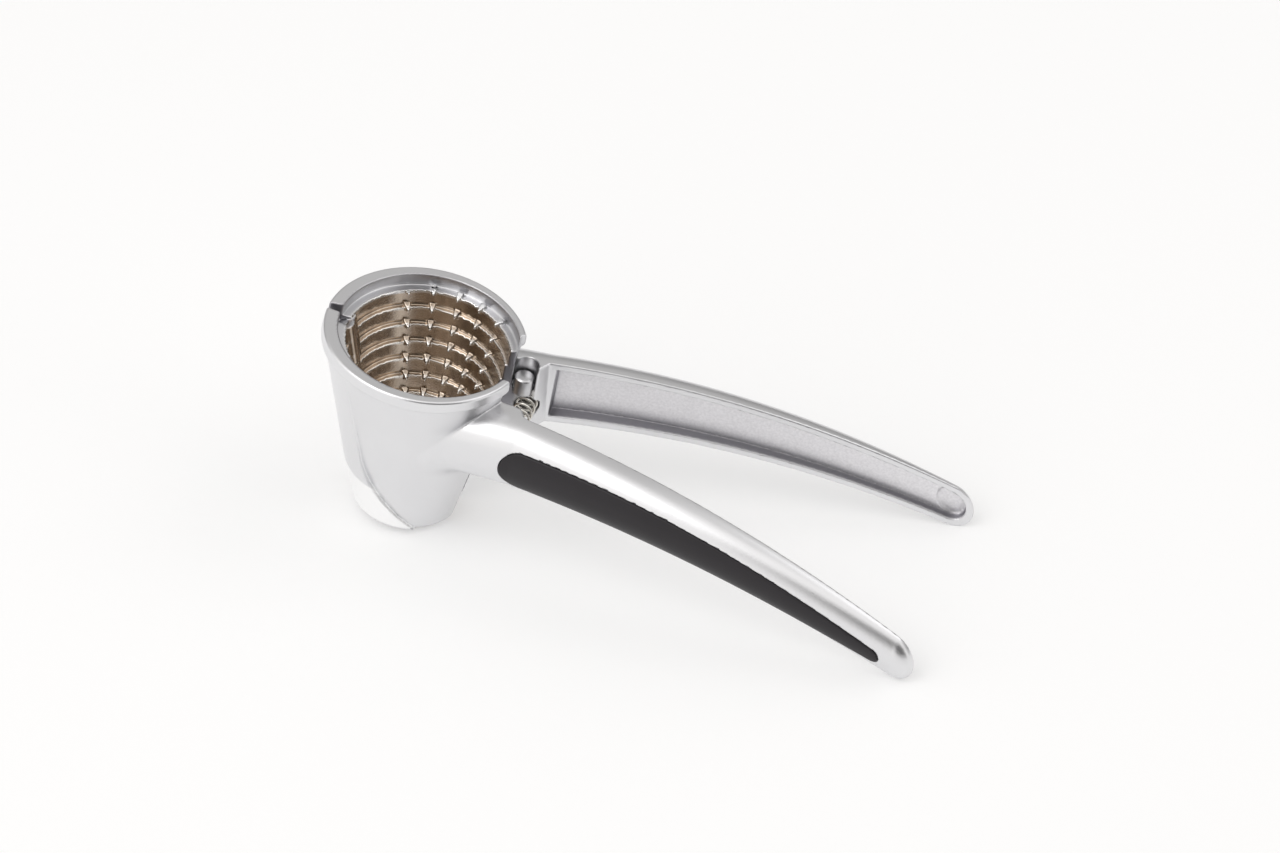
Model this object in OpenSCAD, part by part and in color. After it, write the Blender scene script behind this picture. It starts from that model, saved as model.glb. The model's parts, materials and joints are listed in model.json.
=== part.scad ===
// Funnel nutcracker: two hinged levers, each half of a stepped funnel with a drooping handle.
// Funnel axes: x towards the handles, y from the front lever to the back lever, z up the funnel.
// rest() lays the tool down as it stands on a table, on its foot and the two handle tips.

/* [Funnel] */
// Outside diameter of the rim
rim_d = 60; // [59.5:0.5:64]
// Height from the foot to the top of the rim
funnel_h = 63; // [61:0.5:68]
// Outside radius of the cone just under the rim
cone_r = 29.9; // [28.5:0.1:30]
// How much the cone narrows for each millimetre of depth
cone_taper = 0.233; // [0.21:0.001:0.24]
// Lean of the cone's axis, which carries the foot towards the handles
cone_lean = 3.5; // [2:0.1:4.5]
// Height of the rim's lip
lip_h = 4.4; // [3.5:0.1:5]

/* [Ribs] */
// How far the inside lies towards the handles
inside_x = 1; // [0.4:0.1:1.2]
// Inside radius of the recess under the rim
recess_r = 26.7; // [26:0.1:27]
// Depth of the first ledge under the rim
recess_h = 3.9; // [3:0.1:5]
// Inside radius at the first ledge
ledge_r = 24.1; // [23.5:0.1:24.5]
// Height from one ledge to the next
ledge_pitch = 5.5; // [5:0.1:6]
// Width of each ledge
ledge_w = 1.2; // [1:0.05:1.3]
// Rows of teeth in each jaw
tooth_rows = 7; // [3:1:8]
// Teeth in each row
teeth_per_row = 5; // [3:1:6]

/* [Hinge] */
// Diameter of the hinge pin
pin_d = 3; // [2.6:0.1:3.2]
// Radius of the hinge knuckles
knuckle_r = 3.5; // [3.3:0.1:3.7]
// Length of the hinge along its pin
hinge_len = 54; // [50:0.5:55]
// Lean of the hinge pin away from the funnel's axis
hinge_lean = 14.6; // [13:0.1:16]
// Angle between each lever's parting face and the middle plane
half_open = 8.1; // [7:0.1:9]
// Distance of each parting face from the hinge pin's axis
parting_gap = 1.5; // [1.2:0.1:2]

/* [Handles] */
// Length of each handle from its root to the centre of its tip
handle_len = 122; // [110:1:130]
// Height of the handle at its root
root_h = 22.7; // [21:0.1:24]
// Height lost for each millimetre of length
handle_taper = 0.066; // [0.05:0.002:0.07]
// Depth of the handle's section at its root
root_w = 10.2; // [9:0.1:11]
// Depth of the handle's section at its tip
tip_w = 4.6; // [4:0.1:6]
// Droop of the handle, as millimetres for each square millimetre of length
droop = 0.00157; // [0.0012:0.00001:0.0017]
// Thickness of the channel's flanges
flange_t = 2.3; // [2:0.1:3]
// Depth of the channel in the inner side
channel_depth = 4.6; // [3:0.1:5]

/* [Grips] */
// Thickness of the grip inlay
grip_t = 1.5; // [1:0.1:1.8]
// How far the grip stands proud of the handle
grip_proud = 0.15; // [0.1:0.05:0.3]

/* [Spring and stop] */
// Outside diameter of the return spring
spring_d = 6.4; // [6:0.1:6.8]
// Diameter of the spring's wire
wire_d = 0.8; // [0.6:0.05:1]
// Turns of the spring
spring_turns = 12; // [9:1:13]
// Diameter of the stop pin
stop_d = 6; // [5.5:0.1:6.2]

/* [Hidden] */

chrome = [0.78, 0.78, 0.79];
steel = [0.62, 0.62, 0.64];
black = [0.16, 0.15, 0.16];

eps = 0.01;
// Least depth of a step that two rings of a handle share.
seam = 0.06;
smooth = 96;
rim_r = rim_d / 2;
foot_r = cone_r - cone_taper * funnel_h;
foot_round = 3.2;
// The raised band round the hinge tapers less than the cone does.
band_taper = 0.203;
band_angle = 50;
root_x = 35;
front = -1;
back = 1;

// Centre of the foot's rounding on the handles' side, after the cone has been leaned.
foot_c = [(foot_r - foot_round) * cos(cone_lean) + (funnel_h - foot_round) * sin(cone_lean),
    funnel_h + (foot_r - foot_round) * sin(cone_lean) - (funnel_h - foot_round) * cos(cone_lean)];

// The handle's course, by distance u from its root.
function mid_z(u) = 43.4 + 0.074 * u - droop * u * u;
function full_h(u) = root_h - handle_taper * u;
function inner_y(u) = 13 + 0.191 * u - 0.00013 * u * u;
function bulge(u) = tip_w + (root_w - tip_w) * (1 - pow(max(u, 0) / handle_len, 2.2));

tip_r = full_h(handle_len) / 2;

// Height factor that rounds the tip off.
function tip_cap(u) = u <= handle_len ? 1 : sqrt(max(0.02, 1 - pow((u - handle_len) / tip_r, 2)));

// The tilt at which the foot and a point on the handle's lower edge touch the table together.
function low_edge(u) = [root_x + u, mid_z(u) - full_h(u) / 2 * tip_cap(u)] - foot_c;
function touch_tilt(u) = let (v = low_edge(u)) acos(-foot_round / norm(v)) - atan2(v[0], v[1]);
tip_stations = [for (f = [-0.35, 0, 0.3, 0.55, 0.75, 0.88, 0.96]) handle_len + f * tip_r];
rest_tilt = min([for (u = tip_stations) touch_tilt(u)]);
lift = foot_round + foot_c[0] * sin(rest_tilt) - foot_c[1] * cos(rest_tilt);
x_low = -rim_r * cos(rest_tilt) + funnel_h * sin(rest_tilt);
tip_end = root_x + handle_len + 0.96 * tip_r;
x_high = tip_end * cos(rest_tilt) + (mid_z(tip_end - root_x) + 2) * sin(rest_tilt);
origin_x = (x_low + x_high) / 2;

// Top of the hinge pin, in the funnel's axes.
hinge_top = [-24.8, 0, funnel_h - 5];
knuckle_len = [0.26, 0.48, 0.26] * hinge_len;
knuckle_gap = 0.15;
pin_clear = 0.05;
knuckle_clear = 0.5;

stop_xy = [29.2, 10];
stop_top = 50.2;
stop_low = 44.2;
spring_xz = [31.3, 39.9];
spring_hole_r = spring_d / 2 + 0.4;
spring_half = 15;
spring_seat = 0.1;

// Where the parting face lies at a distance x along the funnel.
function parting_y(x) = parting_gap / cos(half_open) + (x - hinge_top[0]) * tan(half_open);

module rest() {
    translate([-origin_x, 0, lift]) rotate([0, rest_tilt, 0]) children();
}

module hinge_frame() {
    translate(hinge_top) rotate([0, -hinge_lean, 0]) children();
}

// ---- sweeps ----

// A superellipse quarter-turn point: angle a from outermost, half height h, depth w.
function lobe(a, h, w) = let (n = 2 / 2.4)
    [w * pow(abs(cos(a)), n), sign(sin(a)) * h * pow(abs(sin(a)), n)];

// Room for glue round the grip, as a depth and as an angle of its section.
glue_gap = 0.03;
glue_angle = 0.15;

// Upper and lower edge angles of the grip along the handle.
grip_u = [3, handle_len - 5];
function grip_t01(u) = (u - grip_u[0]) / (grip_u[1] - grip_u[0]);
function grip_round(u) = let (t = grip_t01(u)) sqrt(max(0.04, 1 - pow(max(0, 1 - t * 11), 2)));
function grip_hi(u) = -6 + (41 - 24 * grip_t01(u)) * grip_round(u);
function grip_lo(u) = -6 - (46 - 22 * grip_t01(u)) * grip_round(u);

arc_n = 5;
function arc_angles(a, b) = [for (i = [0 : arc_n]) a + (b - a) * i / arc_n];

function in_span(u, span) = u >= span[0] && u <= span[1];
channel_u = [3, handle_len - 2];

// One ring of the handle, anticlockwise seen from the tip: outer lobe with the grip's pocket,
// then the inner side with its channel. deep is the pocket's depth and chan is the channel's.
function handle_ring(u, deep, chan) =
    let (h = full_h(u) / 2 * tip_cap(u), w = bulge(u) * (0.35 + 0.65 * tip_cap(u)), y0 = inner_y(u),
        g1 = grip_hi(u), g0 = grip_lo(u), f = h - flange_t * tip_cap(u))
    concat(
        [for (a = arc_angles(90, g1)) let (p = lobe(a, h, w)) [y0 + p[0], p[1]]],
        [for (a = arc_angles(g1, g0)) let (p = lobe(a, h - deep, w - deep)) [y0 + p[0], p[1]]],
        [for (a = arc_angles(g0, -90)) let (p = lobe(a, h, w)) [y0 + p[0], p[1]]],
        [[y0, -f], [y0 + chan, -f + 0.4], [y0 + chan, f - 0.4], [y0, f]]);

function grip_ring(u) =
    let (h = full_h(u) / 2, w = bulge(u), y0 = inner_y(u), t = grip_t - glue_gap,
        g1 = grip_hi(u) - glue_angle, g0 = grip_lo(u) + glue_angle)
    concat(
        [for (a = arc_angles(g1, g0)) let (p = lobe(a, h + grip_proud, w + grip_proud))
            [y0 + p[0], p[1]]],
        [for (a = arc_angles(g0, g1)) let (p = lobe(a, h - t, w - t)) [y0 + p[0], p[1]]]);

// A closed skin over rings of equal length, each at its own place along x. turned splits each
// four-sided face along its other diagonal, so that a grip's facets lie on its pocket's.
module skin(us, rings, turned = false) {
    n = len(rings[0]);
    m = len(rings);
    points = [for (i = [0 : m - 1]) for (p = rings[i]) [root_x + us[i], p[0], mid_z(us[i]) + p[1]]];
    sides = [for (i = [0 : m - 2]) for (j = [0 : n - 1]) let (k = (j + 1) % n, a = i * n, b = a + n)
        each turned ? [[a + j, a + k, b + j], [a + k, b + k, b + j]]
            : [[a + j, b + k, b + j], [a + j, a + k, b + k]]];
    ends = [[for (j = [n - 1 : -1 : 0]) j], [for (j = [0 : n - 1]) (m - 1) * n + j]];
    polyhedron(points = points, faces = concat(sides, ends), convexity = 8);
}

grip_steps = 18;
grip_stations = [for (i = [0 : grip_steps])
    grip_u[0] + (grip_u[1] - grip_u[0]) * (i < 5 ? i * i / 120 : 0.13 + 0.87 * (i - 4) / (grip_steps - 4))];
handle_start = 1;
step_gap = 0.08;
handle_stations = concat([handle_start, grip_u[0] - step_gap], grip_stations, [grip_u[1] + step_gap],
    tip_stations);

module handle() {
    skin(handle_stations, [for (u = handle_stations)
        handle_ring(u, in_span(u, grip_u) ? grip_t : seam,
            in_span(u, channel_u) ? channel_depth * (1 - 0.5 * u / handle_len) : seam)]);
}

module grip() {
    skin(grip_stations, [for (u = grip_stations) grip_ring(u)], turned = true);
}

// ---- funnel ----

function fillet(c, r, from, to) = [for (i = [0 : 6]) let (a = from + (to - from) * i / 6)
    [c[0] + r * cos(a), c[1] + r * sin(a)]];

// Solid of revolution of a cone with a rounded foot; depths run down from the rim.
module cone_solid(taper) {
    top = 2.2;
    low_r = cone_r - taper * funnel_h;
    rotate_extrude($fn = smooth)
        polygon(concat([[0, -funnel_h]],
            fillet([low_r - foot_round, foot_round - funnel_h], foot_round, -90, -atan(taper)),
            [[cone_r - taper * top, -top], [0, -top]]));
}

module leaned() {
    translate([0, 0, funnel_h]) rotate([0, -cone_lean, 0]) children();
}

module outside() {
    leaned() cone_solid(cone_taper);
    leaned() intersection() {
        cone_solid(band_taper);
        translate([0, 0, -funnel_h - 1]) linear_extrude(height = funnel_h)
            polygon([[0, 0], [-rim_d, -rim_d * tan(band_angle)], [-rim_d, rim_d * tan(band_angle)]]);
    }
    rim_ring();
}

module rim_ring() {
    edge = 1;
    translate([0, 0, funnel_h - lip_h])
        rotate_extrude($fn = smooth)
            polygon(concat([[0, 0], [rim_r - edge, 0]], fillet([rim_r - edge, edge], edge, -90, 0),
                fillet([rim_r - edge, lip_h - edge], edge, 0, 90), [[0, lip_h]]));
}

function ledge_z(i) = funnel_h - recess_h - ledge_pitch * i;
function ledge_x(z) = inside_x + (funnel_h - z) * tan(cone_lean);
ledges = floor((funnel_h - recess_h) / ledge_pitch);

module cavity() {
    translate([inside_x, 0, ledge_z(0)]) cylinder(r = recess_r, h = recess_h + 1, $fn = smooth);
    for (i = [0 : ledges]) translate([ledge_x(ledge_z(i)), 0, ledge_z(i + 1)])
        cylinder(r = ledge_r - ledge_w * i, h = ledge_pitch + eps, $fn = smooth);
}

// Small pointed teeth on the ledges of the half that lies at positive y.
module teeth() {
    spacing = 18;
    tall = 2.4;
    for (i = [0 : tooth_rows - 1]) for (k = [0 : teeth_per_row - 1]) {
        angle = 85 + (k - (teeth_per_row - 1) / 2) * spacing;
        translate([ledge_x(ledge_z(i)), 0, ledge_z(i) - 1]) rotate([0, 0, angle])
            linear_extrude(height = tall)
                polygon([[ledge_r - ledge_w * (i - 1) + 0.5, -0.8], [ledge_r - ledge_w * (i - 1) + 0.5, 0.8],
                    [ledge_r - ledge_w * i - 0.5, 0]]);
    }
}

// The block that joins the half funnel at positive y to its handle.
root_stations = [-23, -17, -11, -5, -1.6, handle_start];
function root_ring(u) =
    let (h = full_h(u) / 2, y0 = u < 0 ? parting_y(root_x + u) : inner_y(u),
        w = (u < 0 ? inner_y(0) + root_w + 0.086 * u : inner_y(u) + bulge(u)) - y0)
    [for (a = arc_angles(90, 0)) let (p = lobe(a, h, w)) [y0 + p[0], p[1]],
        for (i = [1 : arc_n]) let (p = lobe(-90 * i / arc_n, h, w)) [y0 + p[0], p[1]]];

module root() {
    skin(root_stations, [for (u = root_stations) root_ring(u)]);
}

module half_space() {
    hinge_frame() rotate([0, 0, half_open]) translate([-100, parting_gap, -150]) cube([300, 200, 300]);
}

// Knuckle i of three, grown by more on its radius and at its ends by side.
module knuckle(i, more, side) {
    top = i == 0 ? 0 : i == 1 ? -knuckle_len[0] : -knuckle_len[0] - knuckle_len[1];
    hinge_frame() translate([0, 0, top - knuckle_len[i] - side])
        cylinder(r = knuckle_r + more, h = knuckle_len[i] + 2 * side, $fn = smooth);
}

// A web from a knuckle to its own wall, on the side of positive y.
module web(i) {
    top = i == 0 ? 0 : i == 1 ? -knuckle_len[0] : -knuckle_len[0] - knuckle_len[1];
    hinge_frame() translate([-knuckle_r + 0.6, 0, top - knuckle_len[i] + knuckle_gap])
        cube([2 * knuckle_r - 1.2, knuckle_r + 0.8, knuckle_len[i] - 2 * knuckle_gap]);
}

// One jaw, drawn at positive y. own lists its knuckles and other lists its partner's.
module jaw(own, other, bore_r) {
    difference() {
        union() {
            difference() {
                intersection() {
                    union() {
                        outside();
                        root();
                    }
                    half_space();
                }
                cavity();
            }
            intersection() {
                teeth();
                half_space();
            }
            intersection() {
                union() for (i = own) {
                    knuckle(i, 0, -knuckle_gap);
                    web(i);
                }
                outside();
            }
        }
        for (i = other) knuckle(i, knuckle_clear, knuckle_gap);
        hinge_frame() translate([0, 0, -hinge_len - 1])
            cylinder(r = bore_r, h = hinge_len + 20, $fn = smooth);
        translate([spring_xz[0], spring_half + spring_seat, spring_xz[1]]) rotate([90, 0, 0])
            cylinder(r = spring_hole_r, h = spring_half, $fn = smooth);
        translate([0, 0, -20]) cube([200, 200, 40], center = true);
    }
}

module back_jaw() {
    color(chrome) rest() difference() {
        jaw([0, 2], [1], pin_d / 2);
        translate([stop_xy[0], stop_xy[1], stop_low]) cylinder(r = stop_d / 2, h = 30, $fn = smooth);
        translate([stop_xy[0], stop_xy[1], stop_low + 2]) cylinder(r = stop_d / 2 + 0.6, h = 30, $fn = smooth);
    }
}

module front_jaw() {
    color(chrome) rest() mirror([0, 1, 0]) jaw([1], [0, 2], pin_d / 2 + pin_clear);
}

module back_handle() {
    color(chrome) rest() handle();
}

module front_handle() {
    color(chrome) rest() mirror([0, 1, 0]) handle();
}

module back_grip() {
    color(black) rest() grip();
}

module front_grip() {
    color(black) rest() mirror([0, 1, 0]) grip();
}

module hinge_pin() {
    chamfer = 0.5;
    color(steel) rest() hinge_frame() translate([0, 0, -hinge_len])
        rotate_extrude($fn = smooth) polygon([[0, 0], [pin_d / 2 - chamfer, 0], [pin_d / 2, chamfer],
            [pin_d / 2, hinge_len - chamfer], [pin_d / 2 - chamfer, hinge_len], [0, hinge_len]]);
}

module stop_pin() {
    chamfer = 0.7;
    h = stop_top - stop_low;
    color(steel) rest() translate([stop_xy[0], stop_xy[1], stop_low])
        rotate_extrude($fn = smooth) polygon([[0, 0], [stop_d / 2, 0], [stop_d / 2, h - chamfer],
            [stop_d / 2 - chamfer, h], [0, h]]);
}

// Round wire wound along y, with closed end turns.
coil_sides = 6;
coil_steps = 16;
function coil_y(t) = let (e = wire_d * 0.75, c = clamp01((t - 1) / (spring_turns - 2)))
    -spring_half + wire_d / 2 + e * min(t, 1) + e * max(0, t - spring_turns + 1)
    + (2 * spring_half - wire_d - 2 * e) * c;
function clamp01(x) = min(1, max(0, x));

module return_spring() {
    r = (spring_d - wire_d) / 2;
    turns = spring_turns * coil_steps;
    points = [for (i = [0 : turns]) let (a = 360 * i / coil_steps, y = coil_y(i / coil_steps))
        for (j = [0 : coil_sides - 1]) let (b = 360 * j / coil_sides, q = r + wire_d / 2 * cos(b))
            [spring_xz[0] + q * cos(a), y + wire_d / 2 * sin(b), spring_xz[1] + q * sin(a)]];
    sides = [for (i = [0 : turns - 1]) for (j = [0 : coil_sides - 1])
        let (k = (j + 1) % coil_sides, a = i * coil_sides, b = a + coil_sides)
            each [[a + j, b + j, b + k], [a + j, b + k, a + k]]];
    ends = [[for (j = [0 : coil_sides - 1]) j], [for (j = [coil_sides - 1 : -1 : 0]) turns * coil_sides + j]];
    color(steel) rest() polyhedron(points = points, faces = concat(sides, ends), convexity = 8);
}

front_jaw();
back_jaw();
front_handle();
back_handle();
front_grip();
back_grip();
hinge_pin();
stop_pin();
return_spring();
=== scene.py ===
"""Funnel nutcracker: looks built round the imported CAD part.

Each lever is one satin-chromed casting. Its shape is written as a distance field in the
funnel's own axes (x towards the handles, y outwards from the middle plane, z up the funnel,
in millimetres), turned into a closed mesh, and carried into the row frame.
"""

import json
import math

import bpy
import numpy as np
from mathutils import Matrix, Vector

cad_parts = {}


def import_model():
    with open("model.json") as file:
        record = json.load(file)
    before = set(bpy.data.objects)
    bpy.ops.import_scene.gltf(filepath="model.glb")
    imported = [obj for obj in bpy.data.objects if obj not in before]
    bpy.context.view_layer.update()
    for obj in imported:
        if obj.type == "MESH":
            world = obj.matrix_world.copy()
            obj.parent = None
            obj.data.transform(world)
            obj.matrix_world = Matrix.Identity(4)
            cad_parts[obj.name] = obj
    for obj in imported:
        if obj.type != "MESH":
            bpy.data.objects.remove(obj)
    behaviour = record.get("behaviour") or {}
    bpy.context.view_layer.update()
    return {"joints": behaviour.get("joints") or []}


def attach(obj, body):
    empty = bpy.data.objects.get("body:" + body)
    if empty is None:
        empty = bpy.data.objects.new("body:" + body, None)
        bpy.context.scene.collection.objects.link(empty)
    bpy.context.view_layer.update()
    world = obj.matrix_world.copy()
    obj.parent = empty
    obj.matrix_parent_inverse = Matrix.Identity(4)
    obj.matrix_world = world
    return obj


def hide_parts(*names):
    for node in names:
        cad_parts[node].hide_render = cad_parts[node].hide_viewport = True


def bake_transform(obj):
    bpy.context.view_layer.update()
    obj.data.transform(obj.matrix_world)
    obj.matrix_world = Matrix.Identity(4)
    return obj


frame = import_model()

MM = 0.001

# ---- the funnel's axes, from the hinge joint in the record ----
HINGE_TOP = np.array([-24.8, 0.0, 58.0])
HINGE_LEAN = math.radians(14.6)
JOINT = frame["joints"][0]
TILT = HINGE_LEAN + math.atan2(JOINT["axis"][0], JOINT["axis"][2])
TURN = np.array([
    [math.cos(TILT), 0, math.sin(TILT)],
    [0, 1, 0],
    [-math.sin(TILT), 0, math.cos(TILT)],
])
SHIFT = np.array(JOINT["pos_m"]) - TURN @ HINGE_TOP * MM


def to_row(points):
    """Points in the funnel's axes, in millimetres, as points in the row frame, in metres."""
    return np.asarray(points, float) @ TURN.T * MM + SHIFT


# ---- sizes of the castings, in millimetres ----
# The rim, and the low edge of its lip
RIM_R, RIM_TOP, LIP_LOW, LIP_ROUND = 30.0, 63.0, 58.6, 0.95
# The outer cone: radius at the top, taper, and its axis' lean towards the handles
CONE_R, CONE_TAPER, CONE_LEAN = 29.9, 0.233, math.radians(3.5)
CONE_TOP, FOOT_ROUND, FOOT_Z = 2.2, 3.2, 0.02
# The raised band: taper, half its angle at the top in degrees, and how its edge runs round
# as it goes down
BAND_TAPER, BAND_HALF, BAND_SPREAD = 0.203, 53.8, 0.13
SWEEP_FROM, SWEEP = 36, 0.078
# The band's lower facet: its depth, and how far it is set back
BAND_STEP, FACET_IN, FACET_EDGE = 46.0, 0.3, 0.9
# A tapered wall's cosine turns a difference of radii into a distance
CONE_COS, BAND_COS = 0.974, 0.98
# The inside: its centre, the recess in the rim, and the ledges, each narrower than the one above
INSIDE_X, RECESS_R, RECESS_Z = 1.0, 26.7, 59.1
LEDGE_R, LEDGE_W, LEDGE_PITCH, LEDGES = 24.1, 1.2, 5.5, 11
# The teeth on the upper ledges: angles in degrees, then the size of one tooth
TOOTH_ROWS, TOOTH_FIRST, TOOTH_SPACING, TEETH = 7, 49.0, 18.0, 5
TOOTH_REACH, TOOTH_HALF_W, TOOTH_HALF_H, TOOTH_BURIED = 2.3, 1.05, 1.1, 0.6
TOOTH_POINT, TOOTH_SLOPE = 0.33, 0.5
# The hinge, with each knuckle's low and high end along its axis
KNUCKLE_R, PIN_R, HINGE_LEN = 3.5, 1.5, 54.0
KNUCKLES = [(-14.04, 0.0), (-39.96, -14.04), (-54.0, -39.96)]
KNUCKLE_ROOM, KNUCKLE_GAP, KNUCKLE_EDGE = 0.5, 0.15, 0.25
WEB_IN, WEB_Y, WEB_HALF = 0.6, 2.1, 2.2
PIN_FIT = 0.03
# The parting faces: half the angle between the open levers, and their distance from the hinge axis
HALF_OPEN, PARTING = math.radians(8.1), 1.5
# The bevel beside the stop pin, and where the handle's own inner face begins
BEVEL_X, BEVEL_Y, BEVEL_LEAN, BEVEL_COS, BEVEL_SIN = 33.5, 9.8, 0.06, 0.855, 0.518
BEVEL_Z, FACE_X = 54, 34
# The handle: its course, height, inner face and bulge, and the power of its rounded section
ROOT_X, HANDLE_LEN, HANDLE_FROM = 35.0, 122.0, 10
MID_Z, MID_RISE, MID_DROOP = 43.4, 0.074, 0.00157
ROOT_H, H_TAPER = 22.7, 0.066
INNER_Y, INNER_SPREAD, INNER_CURVE = 13, 0.191, 0.00013
TIP_BULGE, MORE_BULGE, BULGE_POWER, ROOT_FALL = 4.6, 5.6, 2.2, 0.045
ROOT_POWER, POWER_LOSS, TIP_STRETCH = 2.4, 0.4, 0.955
# The channel in the handle's inner side, and the bowl at its tip end
FLANGE, CHANNEL_FROM, CHANNEL_ROUND = 2.3, 2.6, 0.5
CHANNEL_DEPTH, CHANNEL_THIN = 4.3, 0.46
BOWL_R, BOWL_BACK, BOWL_DEPTH, BOWL_EDGE = 5.0, 0.3, 0.6, 0.9
# The grip: its outline from end to end, its depth, how far it stands out, and the groove round it
GRIP_FROM, GRIP_TO = 3.6, 116.0
GRIP_HALF, GRIP_SWELL, GRIP_TAPER, GRIP_LOW = 6.7, 1.1, 5.3, 0.9
GRIP_DEPTH, GRIP_THIN, GRIP_PROUD, GROOVE = 1.5, 0.75, 0.15, 0.05
# The stop pin and its groove
STOP_XY, STOP_Z, STOP_R = (29.2, 10.0), (44.2, 50.2), 3.0
STOP_GROOVE, GROOVE_UP = 0.6, 2
# The return spring and the holes it sits in; each closed end turn rises by END_TURN wire radii
SPRING_XZ, SPRING_HALF, SPRING_R, WIRE_R, HOLE_R = (31.3, 39.9), 15.0, 3.2, 0.4, 3.6
SPRING_TURNS, END_TURN = 12.0, 2.04
# The rounding of the castings' edges
EDGE, SMALL_EDGE, SHARP_EDGE = 0.45, 0.3, 0.2

CAST_GRID = 0.5
GRIP_GRID, GRIP_COARSE = ((0.45, 1.0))
FAR = 99.0


def both(a, b, r):
    """Inside both a and b, with the edge between them rounded to radius r."""
    return np.minimum(-r, np.maximum(a, b)) + np.hypot(np.maximum(a + r, 0), np.maximum(b + r, 0))


def either(a, b, r):
    """Inside a or b, with a fillet of radius r between them."""
    return np.maximum(r, np.minimum(a, b)) - np.hypot(np.maximum(r - a, 0), np.maximum(r - b, 0))


def ramp(t):
    """0 below 0, 1 above 1, smooth in between."""
    t = np.clip(t, 0, 1)
    return t * t * (3 - 2 * t)


# ---- the handle's course and section: u along it from the root, v up from its middle ----
def mid_z(u):
    """Height of the handle's middle, which droops towards the tip."""
    return MID_Z + MID_RISE * u - MID_DROOP * u * u


def half_h(u):
    """Half the handle's height."""
    return (ROOT_H - H_TAPER * np.minimum(u, HANDLE_LEN)) / 2


def inner_y(u):
    """Where the handle's inner face lies."""
    return INNER_Y + INNER_SPREAD * u - INNER_CURVE * u * u


def bulge(u):
    """How far the handle's outer side stands out from its inner face.

    On the funnel's side of the root, where u is below 0, the outer side runs on almost level.
    """
    along = np.clip(u, 0, HANDLE_LEN) / HANDLE_LEN
    behind = np.minimum(u, 0)
    swell = MORE_BULGE * (1 - along**BULGE_POWER)
    return TIP_BULGE + swell + ROOT_FALL * behind - INNER_SPREAD * behind


def section(u, v, y):
    """Distance from the handle's D-shaped section, whose flat side is left open.

    The section is a superellipse that comes down to an ellipse at the tip. Past the handle's
    length, the way past it counts as height, which rounds the tip.
    """
    past = np.maximum(u - HANDLE_LEN, 0) / TIP_STRETCH
    v = np.hypot(v, past)
    h, w = half_h(u), bulge(u)
    out = np.maximum(y - inner_y(u), 0)
    n = ROOT_POWER - POWER_LOSS * np.clip(u, 0, HANDLE_LEN) / HANDLE_LEN
    a, b = np.abs(v) / h, out / w
    g = np.maximum(a**n + b**n, 1e-6) ** (1 / n)
    slope = np.hypot((a / g) ** (n - 1) / h, (b / g) ** (n - 1) / w)
    return (g - 1) / np.maximum(slope, 0.02)


def grip_outline(u, v):
    """Signed distance from the grip's teardrop outline on the handle's side."""
    spine = np.clip(u, GRIP_FROM, GRIP_TO)
    t = (spine - GRIP_FROM) / (GRIP_TO - GRIP_FROM)
    half = GRIP_HALF + GRIP_SWELL * t - GRIP_TAPER * t * t
    centre = -GRIP_LOW - GRIP_LOW * t
    return np.hypot(v - centre, u - spine) - half


def grip_depth(u):
    """How deep the grip lies; less towards the thin tip."""
    return GRIP_DEPTH - GRIP_THIN * ramp(u / HANDLE_LEN)


def grip_seat(u, v, y):
    """The pocket the grip lies in."""
    pocket = both(grip_outline(u, v), -grip_depth(u) - section(u, v, y), SMALL_EDGE)
    return np.maximum(pocket, inner_y(u) + 1 - y)


def channel_walls(u, v):
    """Distance from the channel's side walls and its end walls."""
    v = np.hypot(v, np.maximum(u - HANDLE_LEN + CHANNEL_ROUND, 0))
    return both(v - (half_h(u) - FLANGE), CHANNEL_FROM - u, 0.5)


def channel_depth(u):
    """How deep the channel is; less towards the thin tip."""
    return CHANNEL_DEPTH * (1 - CHANNEL_THIN * np.clip(u, 0, HANDLE_LEN) / HANDLE_LEN)


def channel(u, v, y):
    """The open channel along the handle's inner side, with a deeper bowl at its tip end."""
    walls = channel_walls(u, v)
    bowl = ramp((BOWL_R - np.hypot(u - HANDLE_LEN + BOWL_BACK, v)) / BOWL_EDGE)
    return both(walls, y - inner_y(u) - channel_depth(u) - BOWL_DEPTH * bowl, 0.35)


# ---- the funnel ----
def leaned(x, z, lean):
    """x and z about the point (0, RIM_TOP), turned back by lean."""
    c, s = math.cos(lean), math.sin(lean)
    return x * c + (z - RIM_TOP) * s, (z - RIM_TOP) * c - x * s


def band_depth(x, z):
    """Depth under the rim, along the cone's leaning axis."""
    return -leaned(x, z, CONE_LEAN)[1]


def band_distance(x, y, z):
    """The raised band round the hinge side; its edge sweeps round above the foot."""
    xl, zl = leaned(x, z, CONE_LEAN)
    depth = -zl
    low = np.maximum(depth - BAND_STEP, 0)
    r = np.hypot(xl, y)
    set_back = FACET_IN * ramp((depth - BAND_STEP + 0.4) / FACET_EDGE)
    band_r = CONE_R - BAND_TAPER * depth - set_back - 0.03 * low
    angle = np.degrees(np.arctan2(np.abs(y), -xl))
    reach = BAND_HALF + BAND_SPREAD * depth + SWEEP * np.maximum(depth - SWEEP_FROM, 0) ** 2
    return both((r - band_r) * BAND_COS, np.radians(angle - reach) * r, EDGE)


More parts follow.
